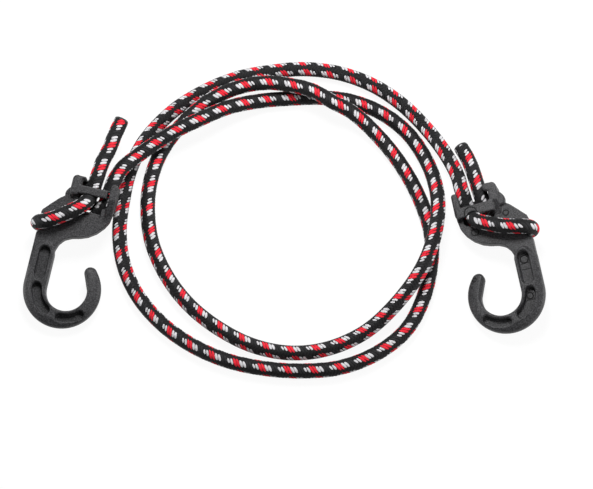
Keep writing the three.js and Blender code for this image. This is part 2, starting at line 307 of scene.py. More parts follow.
@dataclass(frozen=True)
class BraidFinish:
    """Woven black yarn with red and white ones among it.

    The crossing says how sharply a yarn in front passes to the one behind, the next two values how
    many fibres lie across and along a yarn, and the painted crevice share how much colour is left
    between yarns, where the colour is darkened as painted shade.
    The fibre tone is the brightness of the darkest fibre, and how much more the palest one has.
    """

    lay: BraidLay = BraidLay()
    black: Colour = (0.0145, 0.0145, 0.0155, 1)
    black_float: Colour = (0.02, 0.02, 0.0215, 1)
    white: Colour = (0.62, 0.61, 0.63, 1)
    red: Colour = (0.76, 0.02, 0.038, 1)
    roughness: float = 0.52
    crossing: float = 7.0
    fibres_across: float = 5.0
    fibres_along: float = 0.7
    # Painted shade: the colour's share left deepest between yarns, and how fast it brightens to a
    # crown.
    painted_crevice_share: float = 0.03
    painted_shade_gain: float = 1.25
    fibre_tone: Flat = (0.33, 1.3)
    brightest: float = 1.15
    fibre_rough: float = 0.3
    fibre_bump: float = 0.35
    bump_m: float = 0.35 * MM

    def make(self) -> bpy.types.Material:
        """Builds the material on the braid's own UV map.

        Returns:
            The material.
        """
        g = Graph("braided_yarn")
        lay = self.lay
        uv = g.node("ShaderNodeUVMap", {"uv_map": "braid"})
        turn = g.node("ShaderNodeSeparateXYZ", None, {0: uv}, 0)
        leads = g.node("ShaderNodeSeparateXYZ", None, {0: uv}, 1)
        front_yarn = (leads - turn) * float(lay.yarns)
        back_yarn = (leads + turn) * float(lay.yarns)
        columns = turn * float(lay.columns)
        place = ((front_yarn.floor() + 0.5) / float(lay.yarns)).fract()
        reach, width = self._table(g, lay.reach, place), self._table(g, lay.width, place)
        front = self._crown(columns, front_yarn, reach, width)
        back = self._crown(columns + 0.5, back_yarn, lay.back_reach, lay.back_width)
        back = back * lay.back_height
        height = front.at_least(back)
        on_front = ((front - back) * self.crossing + 0.5).at_least(0.0).at_most(1.0)
        stops = [(0.0, self.white), (0.25, self.red), (0.5, self.white), (0.75, self.black_float)]
        yarn = g.node("ShaderNodeValToRGB", {"stops": stops}, {0: place})
        fine, coarse = self.fibres_across, self.fibres_along
        fibre_front = g.noise(g.vector(front_yarn * fine, back_yarn * coarse, 0.0), 1.0, 4.0)
        fibre_back = g.noise(g.vector(back_yarn * fine, front_yarn * coarse, 3.0), 1.0, 4.0)
        fibre = fibre_front * on_front + fibre_back * (1.0 - on_front)
        woven = g.mix(on_front, self.black, yarn)
        # Painted shade: the yarns' colour darkens from each float's crown down into the crevices
        # between yarns, times the fibres' own tone.
        depth = (height * self.painted_shade_gain).at_most(1.0)
        least, more = self.fibre_tone
        shade = (depth * (1.0 - self.painted_crevice_share) + self.painted_crevice_share) * (fibre * more + least)
        shade = shade.at_most(self.brightest)
        shaded = g.node("ShaderNodeVectorMath", {"operation": "SCALE"}, {0: woven, "Scale": shade})
        raised = height + fibre * self.fibre_bump
        bump = g.node(
            "ShaderNodeBump", None, {"Strength": 0.55, "Distance": self.bump_m, "Height": raised}
        )
        values = {
            "Base Color": shaded,
            "Roughness": fibre * self.fibre_rough + self.roughness,
            "Normal": bump,
            "Specular IOR Level": 0.15,
            "Sheen Weight": 0.03,
        }
        return g.surface(g.node("ShaderNodeBsdfPrincipled", None, values))

    @staticmethod
    def _table(g: Graph, values: Sequence[float], place: Sock) -> Sock:
        """One value for each yarn, picked by its place in the lead."""
        stops = [(i / len(values), (v, v, v, 1.0)) for i, v in enumerate(values)]
        return g.node("ShaderNodeValToRGB", {"stops": stops}, {0: place})

    @staticmethod
    def _crown(column: Sock, yarn: Sock, reach: Sock | float, width: Sock | float) -> Sock:
        """The relief's rounded floats as shader maths.

        Args:
            column: place round the cord, counted in columns of floats.
            yarn: place along it, counted in yarns.
            reach: how far a float reaches to either side of its column.
            width: half its width.

        Returns:
            The height, 0 beside the floats.
        """
        across = ((column + 0.5).fract() - 0.5) / reach
        along = (yarn.fract() - 0.5) / width
        return (1.0 - across.maths("ABSOLUTE") ** 3.0 - along * along).at_least(0.0) ** 0.5


@dataclass(frozen=True)
class MouldedFinish:
    """Dark plastic from a spark-eroded mould: a fine grain with paler specks, and ejector rings.

    Each ring is its middle and radius on face B, in millimetres of the hook's own frame. Each joint
    of the mould's inserts is a short line there: where it starts and ends across the hook, and how
    far towards the head it lies.
    """

    low: Colour = (0.014, 0.014, 0.015, 1)
    high: Colour = (0.076, 0.075, 0.08, 1)
    line: Colour = (0.004, 0.004, 0.004, 1)
    roughness: float = 0.4
    grain_per_m: float = 1500.0
    flow_per_m: float = 90.0
    speck_gain: float = 3.2
    speck_share: float = 0.32
    flow_share: float = 0.25
    line_share: float = 0.85
    grain_rough: float = 0.25
    mark_rough: float = 0.3
    mark_depth: float = 1.5
    bump_m: float = 0.15 * MM
    rings: tuple[Point, ...] = (
        (-12.1, 42.4, 1.5), (6.4, 36.0, 1.9), (6.0, 45.9, 3.4), (-16.0, 15.3, 2.1),
        (-14.8, -5.1, 1.7), (12.3, 10.2, 1.1),
    )
    joints: tuple[Point, ...] = ((-18.2, -13.6, 12.9), (-18.2, -13.6, 9.6), (-17.0, -12.6, -7.4))
    ring_line: float = 0.42
    face_b: float = -0.5

    def make(self) -> bpy.types.Material:
        """Builds the material on Object coordinates, and its rings on the hook's own frame.

        Returns:
            The material.
        """
        g = Graph("moulded_plastic")
        place = g.node("ShaderNodeTexCoord", None, None, "Object")
        grain = g.noise(place, self.grain_per_m, 4.0)
        flow = g.noise(place, self.flow_per_m, 2.0)
        specks = (grain - 0.5) * self.speck_gain + self.speck_share
        specks = specks.at_least(0.0).at_most(1.0)
        tone = (specks + (flow - 0.5) * self.flow_share).at_least(0.0).at_most(1.0)
        marks = self._marks(g)
        height = grain - marks * self.mark_depth
        bump = g.node(
            "ShaderNodeBump", None, {"Strength": 0.6, "Distance": self.bump_m, "Height": height}
        )
        plastic = g.mix(tone, self.low, self.high)
        values = {
            "Base Color": g.mix(marks * self.line_share, plastic, self.line),
            "Roughness": grain * self.grain_rough + marks * self.mark_rough + self.roughness,
            "Normal": bump,
            "Specular IOR Level": 0.32,
        }
        return g.surface(g.node("ShaderNodeBsdfPrincipled", None, values))

    def _marks(self, g: Graph) -> Sock:
        """How much of a mould mark's line lies at a point.

        Args:
            g: the material's graph.

        Returns:
            The share, from 0 to 1.
        """
        own = g.node("ShaderNodeAttribute", {"attribute_name": "mould_place"}, None, "Vector")
        u, v, w = (g.node("ShaderNodeSeparateXYZ", None, {0: own}, axis) for axis in range(3))
        total: Sock | None = None
        for ring_u, ring_v, radius in self.rings:
            gap = ((u - ring_u) ** 2.0 + (v - ring_v) ** 2.0) ** 0.5 - radius
            line = (2.0 - gap.maths("ABSOLUTE") * 2.0 / self.ring_line).at_least(0.0).at_most(1.0)
            total = line if total is None else total.at_least(line)
        for start, end, height in self.joints:
            gap = (v - height).maths("ABSOLUTE") / self.ring_line
            inside = u.maths("GREATER_THAN", start) * u.maths("LESS_THAN", end)
            total = total.at_least((1.0 - gap).at_least(0.0) * inside)
        return total * w.maths("LESS_THAN", self.face_b)


@dataclass(frozen=True)
class FusedFinish:
    """Yarn melted together where the cord was cut with heat."""

    dark: Colour = (0.008, 0.008, 0.009, 1)
    pale: Colour = (0.03, 0.03, 0.032, 1)
    roughness: float = 0.3
    lump_rough: float = 0.4
    lumps_per_m: float = 900.0
    bump_m: float = 0.4 * MM

    def make(self) -> bpy.types.Material:
        """Builds the material on Object coordinates.

        Returns:
            The material.
        """
        g = Graph("fused_yarn")
        place = g.node("ShaderNodeTexCoord", None, None, "Object")
        lumps = g.noise(place, self.lumps_per_m, 4.0)
        bump = g.node(
            "ShaderNodeBump", None, {"Strength": 0.7, "Distance": self.bump_m, "Height": lumps}
        )
        values = {
            "Base Color": g.mix(lumps, self.dark, self.pale),
            "Roughness": lumps * self.lump_rough + self.roughness,
            "Normal": bump,
        }
        return g.surface(g.node("ShaderNodeBsdfPrincipled", None, values))


@dataclass(frozen=True)
class FloorFinish:
    """White studio floor that the camera sees as white, with a soft shadow left on it."""

    shadow_share: float = 0.1
    glow: float = 1.03
    white: Colour = (0.9, 0.9, 0.9, 1)
    bounce: Colour = (0.3, 0.3, 0.3, 1)

    def make(self) -> bpy.types.Material:
        """Builds the material.

        Returns:
            The material.
        """
        g = Graph("white_floor")
        rays = [
            g.node("ShaderNodeLightPath", None, None, name)
            for name in ("Is Camera Ray", "Is Glossy Ray", "Is Transmission Ray")
        ]
        seen = (rays[0] + rays[1] + rays[2]).at_most(1.0)
        colour = g.mix(seen, self.bounce, self.white)
        matt = g.node("ShaderNodeBsdfDiffuse", None, {"Color": colour})
        glow = g.node("ShaderNodeEmission", None, {"Color": (1, 1, 1, 1), "Strength": self.glow})
        share = seen * (1.0 - self.shadow_share)
        return g.surface(g.node("ShaderNodeMixShader", None, {0: share, 1: matt, 2: glow}))


# Meshes


def placed_object(
    name: str, bm: bmesh.types.BMesh, material: bpy.types.Material | None
) -> bpy.types.Object:
    """Turns a bmesh into a smooth-shaded object at the origin.

    Args:
        name: the object's name.
        bm: its shape, which is freed.
        material: its finish, if it has one yet.

    Returns:
        The object.
    """
    mesh = bpy.data.meshes.new(name)
    bm.to_mesh(mesh)
    bm.free()
    mesh.polygons.foreach_set("use_smooth", [True] * len(mesh.polygons))
    if material:
        mesh.materials.append(material)
    made = bpy.data.objects.new(name, mesh)
    bpy.context.scene.collection.objects.link(made)
    return made


def with_modifiers(obj: bpy.types.Object, steps: Iterable[tuple[str, dict[str, Any]]]) -> None:
    """Runs modifiers on an object and keeps their result as its mesh.

    Args:
        obj: the object.
        steps: each modifier's type and its settings.
    """
    for kind, settings in steps:
        modifier = obj.modifiers.new(kind.lower(), kind)
        for key, value in settings.items():
            setattr(modifier, key, value)
    graph = bpy.context.evaluated_depsgraph_get()
    old = obj.data
    obj.data = bpy.data.meshes.new_from_object(obj.evaluated_get(graph))
    obj.data.name = old.name
    obj.modifiers.clear()
    bpy.data.meshes.remove(old)


# The cord's route, as in the part's source


@dataclass(frozen=True)
class HookLie:
    """How a hook lies on the floor: place in millimetres, and turns in degrees."""

    at: Point
    pitch: float
    roll: float
    heading: float

    def matrix(self) -> Matrix:
        """How the hook's own frame, in millimetres, lies in the row frame, in metres.

        Returns:
            The matrix from the one to the other.
        """
        turn = Matrix.Rotation(math.radians(self.heading), 4, "Z")
        turn @= Matrix.Rotation(math.radians(self.pitch), 4, "X")
        turn @= Matrix.Rotation(math.radians(self.roll), 4, "Y")
        return Matrix.Scale(MM, 4) @ Matrix.Translation(self.at) @ turn


LIES = {
    Side.LEFT: HookLie((-115.9, -18.9, 7.91), 10.0, 1.5, -13.0),
    Side.RIGHT: HookLie((115.9, -22.2, 8.34), 2.5, 166.0, 11.0),
}


@dataclass(frozen=True)
class Route:
    """The cord's centre line, from the left cut end to the right one, in metres.

    The way through a hook is in millimetres of the hook's own frame: over is how far the cord's
    middle lies above the web's, the notch is where it goes round the web's edge, and each shift
    moves its run through that hook's slot. A point of the loops has a share of the lift as height,
    and the roots count the points where the leads leave the loops.
    """

    diameter: float = 8 * MM
    floor: float = 4.3156 * MM
    lift: float = 8.8 * MM
    over: float = 7.8156
    notch: float = -23.7
    left_shift: float = 1.6
    right_shift: float = 0.0
    left_root: int = 4
    right_root: int = -4
    left_tail: tuple[Point, ...] = (
        (-0.088, 0.0736, 0.0197),
        (-0.0915, 0.0651, 0.0195),
        (-0.0945, 0.0567, 0.0192),
        (-0.098, 0.0492, 0.0189),
    )
    right_tail: tuple[Point, ...] = (
        (0.103, 0.043, 0.0114),
        (0.1012, 0.0495, 0.0106),
        (0.0988, 0.056, 0.0096),
        (0.0955, 0.0625, 0.0086),
    )
    loops: tuple[Point, ...] = (
        (-0.087, 0.0475, 1.28), (-0.08, 0.0545, 1.06), (-0.0685, 0.0635, 1), (-0.059, 0.0698, 1.02),
        (-0.046, 0.0766, 1), (-0.0305, 0.0849, 0.65), (-0.013, 0.0907, 0.1), (0.0035, 0.0925, 0),
        (0.0195, 0.093, 0), (0.036, 0.091, 0), (0.0535, 0.0835, 0), (0.0675, 0.0715, 0),
        (0.0775, 0.0545, 0.13), (0.082, 0.037, 0.66), (0.0825, 0.023, 1), (0.0795, 0.006, 1.01),
        (0.0725, -0.011, 1), (0.06, -0.0275, 0.52), (0.0435, -0.042, 0.02), (0.0235, -0.0515, 0),
        (0.0035, -0.054, 0), (-0.0165, -0.05, 0), (-0.0355, -0.04, 0), (-0.0515, -0.0265, 0),
        (-0.0635, -0.01, 0), (-0.0715, 0.009, 0), (-0.074, 0.029, 0), (-0.0725, 0.045, 0),
        (-0.068, 0.059, 0), (-0.0595, 0.073, 0), (-0.045, 0.0865, 0.45), (-0.0335, 0.0937, 0.55),
        (-0.021, 0.098, 0.63), (-0.0085, 0.099, 0.77), (0.003, 0.097, 0.93), (0.015, 0.0935, 1.01),
        (0.026, 0.087, 0.98), (0.0375, 0.0815, 0.63), (0.053, 0.0675, 0.09), (0.065, 0.0505, 0),
        (0.074, 0.0315, 0), (0.079, 0.013, 0), (0.0785, -0.005, 0), (0.074, -0.024, 0),
        (0.065, -0.041, 0), (0.0495, -0.054, 0), (0.03, -0.062, 0), (0.0095, -0.064, 0),
        (-0.0115, -0.0625, 0), (-0.031, -0.058, 0), (-0.0495, -0.0495, 0), (-0.066, -0.037, 0),
        (-0.079, -0.021, 0), (-0.0865, -0.0035, 0), (-0.089, 0.0145, 0), (-0.0875, 0.0325, 0),
        (-0.084, 0.05, 0), (-0.0765, 0.067, 0), (-0.061, 0.085, 0), (-0.0425, 0.0975, 0),
        (-0.0245, 0.105, 0), (-0.0065, 0.1085, 0), (0.01, 0.11, 0), (0.03, 0.1075, 0),
        (0.048, 0.1005, 0), (0.063, 0.09, 0), (0.0755, 0.0765, 0.1), (0.0865, 0.06, 0.41),
        (0.0935, 0.045, 0.63),
    )

    def wrap(self, side: Side) -> list[Vector]:
        """The cord's path through one hook.

        Args:
            side: which hook.

        Returns:
            Its points, from the tail side to the lead side.
        """
        over, notch = self.over, self.notch
        shift = self.left_shift if side is Side.LEFT else self.right_shift
        path = [
            (-0.2 + shift, 61.5, 0), (-0.6 + shift, 56.5, 0), (-1 + shift, 52, 0.1 * over),
            (-1.4 + 0.8 * shift, 48.3, 0.45 * over), (-3.4 + 0.5 * shift, 44, 0.85 * over),
            (-8.4, 38.9, over), (-14.6, 34.5, over), (-19.4, 32.1, 0.88 * over),
            (notch + 1, 31.3, 0.5 * over), (notch, 31.2, 0), (notch + 1, 31.3, -0.5 * over),
            (-19.5, 31.7, -0.88 * over), (-15, 32.6, -over), (-8.4, 34.7, -over),
            (-1.6, 37.9, -0.99 * over), (3 + 0.3 * shift, 40.6, -0.86 * over),
            (5.2 + 0.5 * shift, 43.2, -0.5 * over), (6.5 + 0.8 * shift, 45.8, -0.2 * over),
            (7.3 + 0.95 * shift, 48.6, -0.05 * over), (7.9 + shift, 52.4, -0.1 * over),
            (8.2 + shift, 57, -0.25 * over), (8.7 + shift, 62, -0.28 * over),
        ]
        lie = LIES[side].matrix()
        return [lie @ Vector(p) for p in path]

    def laid(self) -> list[Vector]:
        """The points of the loops and the leads."""
        return [Vector((x, y, self.floor + up * self.lift)) for x, y, up in self.loops]

    def points(self) -> list[Vector]:
        """The whole route.

        Returns:
            Every point of it, in order.
        """
        left, right = self.wrap(Side.LEFT), self.wrap(Side.RIGHT)
        tails = [Vector(p) for p in self.left_tail], [Vector(p) for p in self.right_tail]
        return tails[0] + left + self.laid() + right[::-1] + tails[1]


class Line:
    """A smooth line through the route's points, measured along its length."""

    STEPS = 24

    def __init__(self, points: Sequence[Vector]) -> None:
        """Samples the line and carries a frame along it without twist.

        Args:
            points: the points that it runs through.
        """
        self.samples = self._spline(np.array(points, float))
        steps = np.linalg.norm(np.diff(self.samples, axis=0), axis=1)
        self.lengths = np.concatenate([[0.0], np.cumsum(steps)])
        self.total = float(self.lengths[-1])
        self.tangents = np.gradient(self.samples, self.lengths, axis=0)
        self.tangents /= np.linalg.norm(self.tangents, axis=1)[:, None]
        self.normals = self._carried()

    def _spline(self, p: np.ndarray) -> np.ndarray:
        """A centripetal Catmull-Rom line.

        Args:
            p: the points that it runs through.

        Returns:
            Its samples.
        """
        p = np.vstack([2 * p[0] - p[1], p, 2 * p[-1] - p[-2]])
        share = np.linspace(0, 1, self.STEPS, endpoint=False)[:, None]
        parts: list[np.ndarray] = []
        for a, b, c, d in zip(p, p[1:], p[2:], p[3:]):
            k = [math.sqrt(np.linalg.norm(e - s)) for s, e in ((a, b), (b, c), (c, d))]
            start = (b - a) / k[0] - (c - a) / (k[0] + k[1]) + (c - b) / k[1]
            end = (c - b) / k[1] - (d - b) / (k[1] + k[2]) + (d - c) / k[2]
            start, end = start * k[1], end * k[1]
            t2, t3 = share**2, share**3
            first = (2 * t3 - 3 * t2 + 1) * b + (t3 - 2 * t2 + share) * start
            parts.append(first + (3 * t2 - 2 * t3) * c + (t3 - t2) * end)
        return np.vstack([*parts, p[-2][None]])

    def _carried(self) -> np.ndarray:
        """Turns a normal along with the line, starting upright.

        Returns:
            The normal at each sample.
        """
        normals = np.zeros_like(self.samples)
        upright = np.array([0.0, 0.0, 1.0])
        for i, tangent in enumerate(self.tangents):
            upright = upright - tangent * (upright @ tangent)
            upright /= np.linalg.norm(upright)
            normals[i] = upright
        return normals

    def at(self, lengths: np.ndarray, values: np.ndarray) -> np.ndarray:
        """Values of the samples, read off at lengths along the line."""
        return np.stack([np.interp(lengths, self.lengths, values[:, k]) for k in range(3)], axis=1)

    def point(self, length: float) -> Vector:
        """The point at one length."""
        return Vector(self.at(np.array([length]), self.samples)[0])

    def nearest(self, point: Sequence[float]) -> float:
        """The length along the line that lies closest to a point."""
        gaps = np.linalg.norm(self.samples - np.array(point), axis=1)
        return float(self.lengths[int(np.argmin(gaps))])


# The cord


@dataclass
class Stretch:
    """One piece of the cord between two lengths along it, with the bodies that carry it.

    A piece on two bodies belongs to the first at the length fixed and to the second at the length
    moved. A reversed one's path is taken from its end to its start.
    """

    name: str
    start: float
    end: float
    bodies: tuple[str, ...]
    nodes: tuple[str, ...]
    fixed: float = 0.0
    moved: float = 0.0
    reverse: bool = False
    far_end: FarEnd = FarEnd.PIECE
    rest: Rest = Rest.LOOSE


@dataclass
class Cord:
    """The braided cord: its line, its thickness, and the relief of its yarns.

    The crown is the share of the relief that lies within the diameter, and the braid's repeat is
    counted from the start.
    """

    line: Line
    diameter: float
    braid: BraidLay
    ring_step: float = 0.42 * MM
    around: int = 36
    relief: float = 0.34 * MM
    start: float = 2.6 * MM
    crown: float = 0.75
    path_step: float = 4 * MM
    # At lengths in metres: the cord's roll about itself in degrees, and the braid's slip in mm.
    drift: tuple[Point, ...] = (
        (0.0, -16, 5.2), (0.08, -30, 3.6), (0.13, 52, 0.6), (0.15, 17, 0), (0.25, 24, 0),
        (0.65, 27, 0), (0.8, 12, 0), (0.95, 2, 0), (1.04, -9, 0), (1.15, -22, 5.8),
        (1.3, -32, 13.6), (1.36, -36, 13.6), (1.47, -36, 13.6), (1.51, -44, 9.1),
    )

    def build(self, stretch: Stretch, material: bpy.types.Material) -> bpy.types.Object:
        """Makes one stretch as a closed tube whose yarns stand up from it.

        Args:
            stretch: which length of the cord.
            material: the braid's finish.

        Returns:
            The tube.
        """
        rings = max(8, round((stretch.end - stretch.start) / self.ring_step))
        bm = bmesh.new()
        bm.loops.layers.uv.new("braid")
        bmesh.ops.create_grid(bm, x_segments=self.around, y_segments=rings, size=0.5, calc_uvs=True)
        for vert in bm.verts:
            vert.co += Vector((0.5, 0.5, 0))
        mesh = bpy.data.meshes.new("flat_braid")
        bm.to_mesh(mesh)
        bm.free()
        self._roll(mesh, stretch)
        bm = bmesh.new()
        bm.from_mesh(mesh)
        bpy.data.meshes.remove(mesh)
        bmesh.ops.remove_doubles(bm, verts=bm.verts, dist=1e-7)
        rims = [edge for edge in bm.edges if edge.is_boundary]
        bmesh.ops.holes_fill(bm, edges=rims, sides=0)
        bmesh.ops.recalc_face_normals(bm, faces=bm.faces)
        return placed_object(stretch.name, bm, material)

    def _roll(self, mesh: bpy.types.Mesh, stretch: Stretch) -> None:
        """Rolls a flat unit grid round the line, and sets its UV map to turns and leads.

        Args:
            mesh: the grid, which is changed.
            stretch: which length of the cord.
        """
        flat = np.zeros(len(mesh.vertices) * 3)
        mesh.vertices.foreach_get("co", flat)
        flat = flat.reshape(-1, 3)
        turn = flat[:, 0]
        length = stretch.start + flat[:, 1] * (stretch.end - stretch.start)
        height = self.braid.relief(turn, self._leads(length))
        radius = self.diameter / 2 - self.relief * (self.crown - height)
        centre = self.line.at(length, self.line.samples)
        tangent = self.line.at(length, self.line.tangents)
        tangent /= np.linalg.norm(tangent, axis=1)[:, None]
        normal = self.line.at(length, self.line.normals)
        normal -= tangent * np.sum(tangent * normal, axis=1)[:, None]
        normal /= np.linalg.norm(normal, axis=1)[:, None]
        side = np.cross(tangent, normal)
        lengths, degrees, _ = zip(*self.drift)
        angle = 2 * math.pi * (turn % 1.0) + np.radians(np.interp(length, lengths, degrees))
        out = normal * np.cos(angle)[:, None] + side * np.sin(angle)[:, None]
        mesh.vertices.foreach_set("co", (centre + out * radius[:, None]).ravel())
        layer = mesh.uv_layers["braid"]
        uv = np.zeros(len(layer.data) * 2)
        layer.data.foreach_get("uv", uv)
        uv = uv.reshape(-1, 2)
        along = stretch.start + uv[:, 1] * (stretch.end - stretch.start)
        uv[:, 1] = self._leads(along)
        layer.data.foreach_set("uv", uv.ravel())

    def _leads(self, length: np.ndarray) -> np.ndarray:
        """Where lengths along the cord lie in the braid's repeat.

        Args:
            length: lengths along the cord.

        Returns:
            Their places, in leads.
        """
        lengths, _, slips = zip(*self.drift)
        slip = np.interp(length, lengths, slips) * MM
        return (length + slip - self.start) / self.braid.lead_m

    def carry(self, stretch: Stretch, tube: bpy.types.Object) -> None:
        """Puts a stretch that has one body on it, bakes the place of any other, and hides its
        solids.

        Args:
            stretch: which length of the cord.
            tube: its mesh.
        """
        if len(stretch.bodies) == 1:
            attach(tube, stretch.bodies[0])
        else:
            ends = self.line.point(stretch.fixed), self.line.point(stretch.moved)
            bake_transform(tube)
        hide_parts(*stretch.nodes)

    def declare(
        self, stretch: Stretch
    ) -> None:
        """Samples a stretch's path along the line, from its end for a reversed one.

        Args:
            stretch: which length of the cord.
        """
        count = max(12, round((stretch.end - stretch.start) / self.path_step))
        lengths = np.linspace(stretch.start, stretch.end, count)
        path = self.line.at(lengths, self.line.samples)
        path = path[::-1] if stretch.reverse else path
        stretch.end - stretch.start


@dataclass
class SealedEnd:
    """The fused skin on a cut end of the cord, with its rim, its rings of steps and its lumps."""

    line: Line
    radius: float = 3.8 * MM
    thick: float = 1.3 * MM
    sides: int = 40
    rim: float = 0.45 * MM
    ring: float = 0.8 * MM
    rings: int = 3
    step: float = 0.12 * MM
    lump: float = 0.09 * MM
    waves: Flat = (2900.0, 2300.0)

    def build(
        self, name: str, at: float, inwards: float, material: bpy.types.Material
    ) -> bpy.types.Object:
        """Makes a lumpy cap with rounded rims at one end of the line.

        Args:
            name: the piece's name.
            at: length along the line where the end lies.
            inwards: 1 where the line runs away from this end, and -1 where it runs up to it.
            material: the fused finish.

        Returns:
            The cap.
        """
        bm = bmesh.new()
        radii = {"radius1": self.radius, "radius2": self.radius}
        bmesh.ops.create_cone(bm, cap_ends=True, segments=self.sides, depth=self.thick, **radii)
        rims = [edge for edge in bm.edges if abs(edge.verts[0].co.z - edge.verts[1].co.z) < 1e-9]
        bmesh.ops.bevel(
            bm, geom=rims, offset=self.rim, affect="EDGES", segments=3, profile=0.5, material=-1
        )
        caps = [face for face in bm.faces if len(face.verts) > 4]
        for _ in range(self.rings):
            bmesh.ops.inset_region(bm, faces=caps, thickness=self.ring, depth=self.step)
        for vert in bm.verts:
            x, y = vert.co.x * self.waves[0], vert.co.y * self.waves[1]
            vert.co += vert.co.normalized() * (math.sin(x) * math.sin(y + 1) * self.lump)
        away = self.line.at(np.array([at]), self.line.tangents)[0] * inwards
        centre = self.line.point(at) + Vector(away) * self.thick / 2
        turn = Vector(away).to_track_quat("Z", "Y").to_matrix().to_4x4()
        bmesh.ops.transform(bm, matrix=Matrix.Translation(centre) @ turn, verts=bm.verts)
        bmesh.ops.recalc_face_normals(bm, faces=bm.faces)
        return placed_object(name, bm, material)


# The hooks


@dataclass
class Hook:
    """One moulded hook, in millimetres of its own frame.

    In that frame u runs across, v towards the head, and w out of face A. The bend, the seat, the
    tip and the notch are circles, each with its middle and its radius.
    """

    line: Line
    half: float = 4.5
    web_half: float = 3.0
    head_half: float = 6.8
    tunnel: float = 4.3
    post_low: float = 5.0
    bend: Point = (-2.6, -1.4, 20.9)
    seat: Point = (0.0, -1.8, 11.0)
    tip: Point = (10.7, 9.9, 3.5)
    notch: Point = (-23.7, 31.2, 4.8)
    tip_angle: float = 40.0
    tip_drop: float = 0.7
    seat_end: float = 12.0
    shank_top: float = 15.4
    pocket_floor: float = 1.0
    pocket_rim: float = 0.55
    rim_depth: float = 0.45
    channel: float = 4.3
    voxel: float = 0.3
    # Where the cord's channel starts and ends, in metres from the cord's own end on that side.
    left_channel: Flat = (0.026, 0.158)
    right_channel: Flat = (0.147, 0.018)

    # Half sections of the J from throat to outside: share of the width, share of the height.
    SHANK_SECTION = (
        (0.0, 0.82), (0.015, 0.93), (0.045, 0.985), (0.09, 1.0), (0.62, 1.0), (0.66, 0.97),
        (0.72, 0.87), (0.8, 0.78), (0.88, 0.69), (0.95, 0.56), (0.985, 0.4), (1.0, 0.2),
    )
    ARM_SECTION = (
        (0.0, 0.5), (0.02, 0.68), (0.09, 0.83), (0.18, 0.97), (0.26, 1.0), (0.45, 0.97),
        (0.62, 0.91), (0.76, 0.81), (0.87, 0.68), (0.95, 0.5), (0.99, 0.34), (1.0, 0.2),
    )
    # How far up the shank's round top its sections lie, as shares of its radius.
    TOP_RISES = (0.985, 0.94, 0.86, 0.74, 0.58, 0.4, 0.2)
    # Sections round the bend, those on the seat's arc, and those before the arm gets thinner.
    BEND_STEPS, SEAT_STEPS, THICK_STEPS = 40, 32, 26
    # Where the arm's ridge starts, and over how much of the bend it grows.
    RIDGE_FROM, RIDGE_OVER = 0.66, 0.14
    # Which way the arm's tip points, and where its throat side lies from its middle.
    TIP_AHEAD, TIP_SIDE = (-0.5, 0.866, 0), (0.93, 0.37)
    # Sections of the round tip, how many would close it, and the share of its thickness that stays.
    TIP_STEPS, TIP_CLOSED, TIP_KEPT = 6, 6.4, 0.35
    # The web's outline from the throat up round the head, and what follows the notch.
    WEB_EDGE = (
        (-11.4, 8), (-11.3, 18.5), (-10, 22.2), (-7.7, 25), (-4.3, 26.8), (0.4, 27.9), (4.2, 29.3),
        (8.4, 32.2), (11.8, 36), (13.7, 39.6), (14.6, 45), (14.6, 56.4), (11.4, 56.4),
        (11.4, 41.8), (9.9, 40.3), (-4.2, 40.3), (-5.7, 41.8), (-5.7, 56.4), (-10.1, 56.4),
        (-10.1, 50.3), (-15.4, 46.4), (-21.6, 39.8), (-22.9, 38.4), (-23.2, 36.7),
    )
    WEB_BACK = ((-23.2, 25.7), (-23.2, 8))
    POST = (
        (10.9, 50), (14.9, 50), (14.9, 57.7), (14.4, 58.8), (13.4, 59.2), (12.4, 59.2),
        (11.4, 58.8), (10.9, 57.7),
    )
    LIP = ((-7, 56.2), (-3.9, 56.2), (-3, 57.4), (-3, 60.3), (-7, 60.3))
    LOBE = (
        (-7.5, 55.6), (-10.6, 55), (-12.2, 53.4), (-13.2, 51.8), (-13.5, 50.2), (-13.2, 48.7),
        (-12.4, 47.4), (-7.5, 46),
    )
    # The shank's pocket: its sides and corner radius. The curved ones: radius, ends and width.
    SHANK_POCKET = (-19.0, -12.9, 1.2, 19.2, 3.05)
    BEND_POCKET, ARM_POCKET = (14.5, 187.5, 239, 5.4), (15.2, 268.5, 312, 4.5)
    # Rings along the cord's channel, and points round each.
    CHANNEL_RINGS, CHANNEL_SIDES = 88, 24

    def build(self, name: str, side: Side, material: bpy.types.Material) -> bpy.types.Object:
        """Makes the moulding from its bend, web and head, sinks its pockets and lays it down.

        Args:
            name: the piece's name.
            side: which hook.
            material: the plastic's finish.

        Returns:
            The hook.
        """
        bm = bmesh.new()
        self._bend(bm)
        self._web(bm)
        self._head(bm)
        hook = placed_object(name, bm, material)
        remesh = ("REMESH", {"mode": "VOXEL", "voxel_size": self.voxel, "use_smooth_shade": True})
        with_modifiers(hook, [remesh])
        cutters = [self._sunk(), self._cord_way(side)]
        cut = {"operation": "DIFFERENCE", "solver": "MANIFOLD"}
        for cutter in cutters:
            with_modifiers(cutter, [remesh])
        cuts = [("BOOLEAN", {**cut, "object": cutter}) for cutter in cutters]
        with_modifiers(hook, [*cuts, remesh, ("SMOOTH", {"factor": 0.5, "iterations": 2})])
        for cutter in cutters:
            bpy.data.objects.remove(cutter)
        self._remember_place(hook.data)
        hook.data.transform(LIES[side].matrix())
        hook.data.polygons.foreach_set("use_smooth", [True] * len(hook.data.polygons))
        return hook

    @staticmethod
    def _remember_place(mesh: bpy.types.Mesh) -> None:
        """Keeps each point's place in the hook's own frame, for the marks in the finish.

        Args:
            mesh: the hook, before it is laid down.
        """
        place = np.zeros(len(mesh.vertices) * 3, np.float32)
        mesh.vertices.foreach_get("co", place)
        layer = mesh.attributes.new("mould_place", "FLOAT_VECTOR", "POINT")
        layer.data.foreach_set("vector", place)

